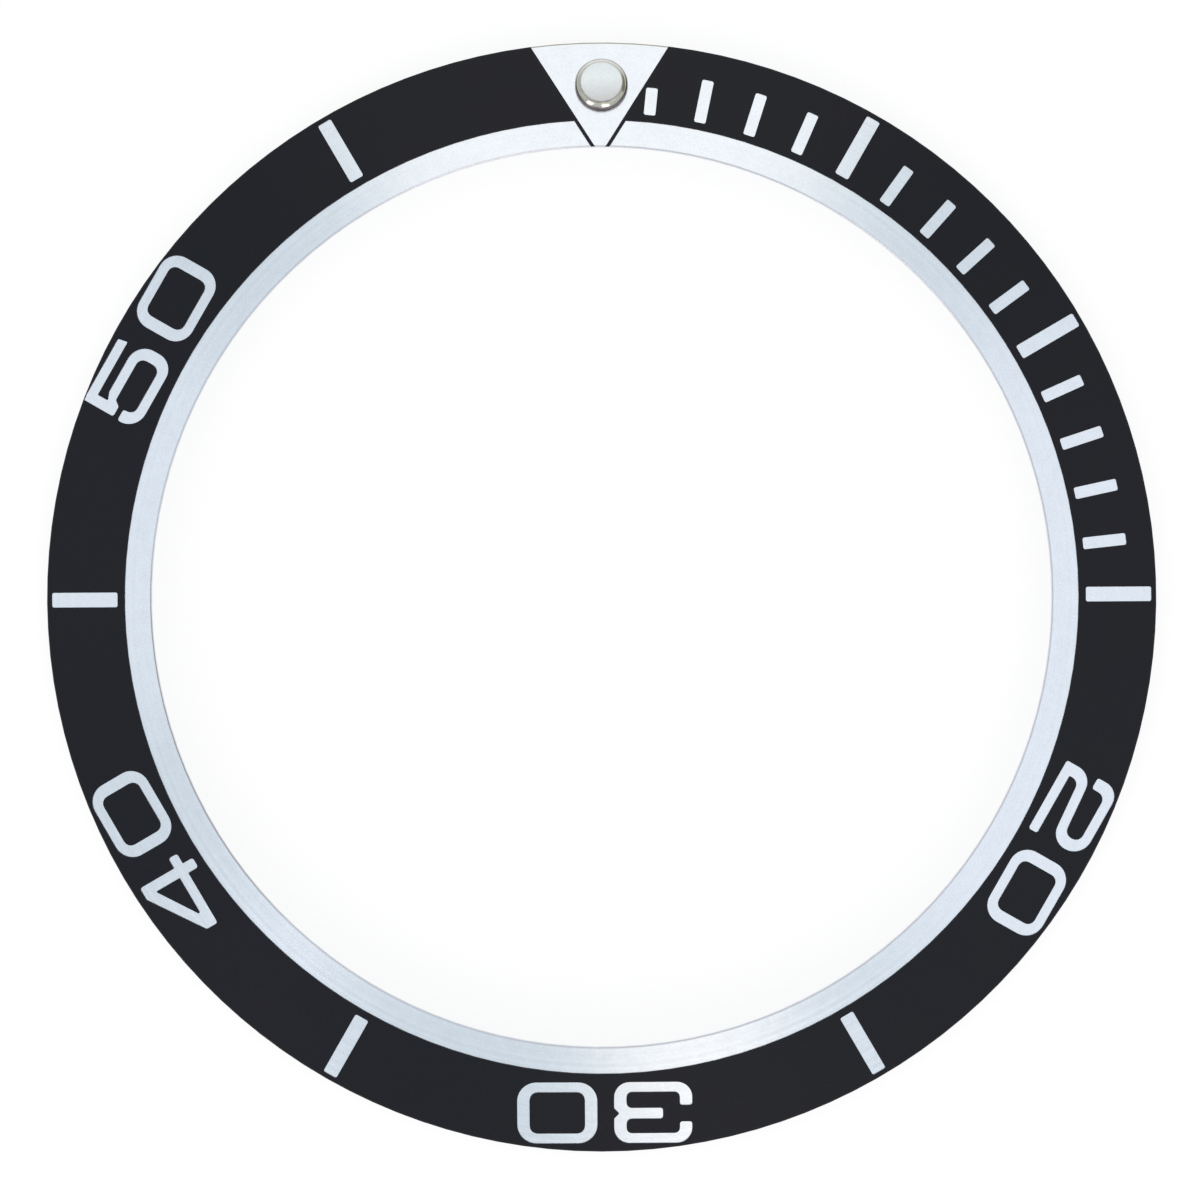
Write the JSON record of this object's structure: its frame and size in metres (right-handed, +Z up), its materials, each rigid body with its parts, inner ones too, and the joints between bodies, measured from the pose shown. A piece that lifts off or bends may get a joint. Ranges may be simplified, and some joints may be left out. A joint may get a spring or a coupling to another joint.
{
  "type": "watch bezel insert",
  "caption": "Thin sloped aluminium ring with a black anodised minute scale, plain numerals and a luminous pip, which drops into the rotating bezel of a diving watch.",
  "frame": {"origin": "on the ring's axis, in the plane of the flat foot under its rim", "axes": "+Z up through the marked face, +Y towards the luminous pip at 12 o'clock, +X towards 15 minutes"},
  "size_m": [0.038, 0.038, 0.0016],
  "materials": {
    "bare_aluminium": "bare aluminium with a fine turned satin",
    "black_anodising": "satin black anodised film",
    "polished_steel": "polished",
    "luminous_paint": "matte luminous paint"
  },
  "bodies": {
    "root": {"insert_ring": "bare_aluminium", "black_film": "black_anodising", "numeral_centres": "black_anodising", "pip_cup": "polished_steel", "pip_lume": "luminous_paint"}
  },
  "joints": []
}
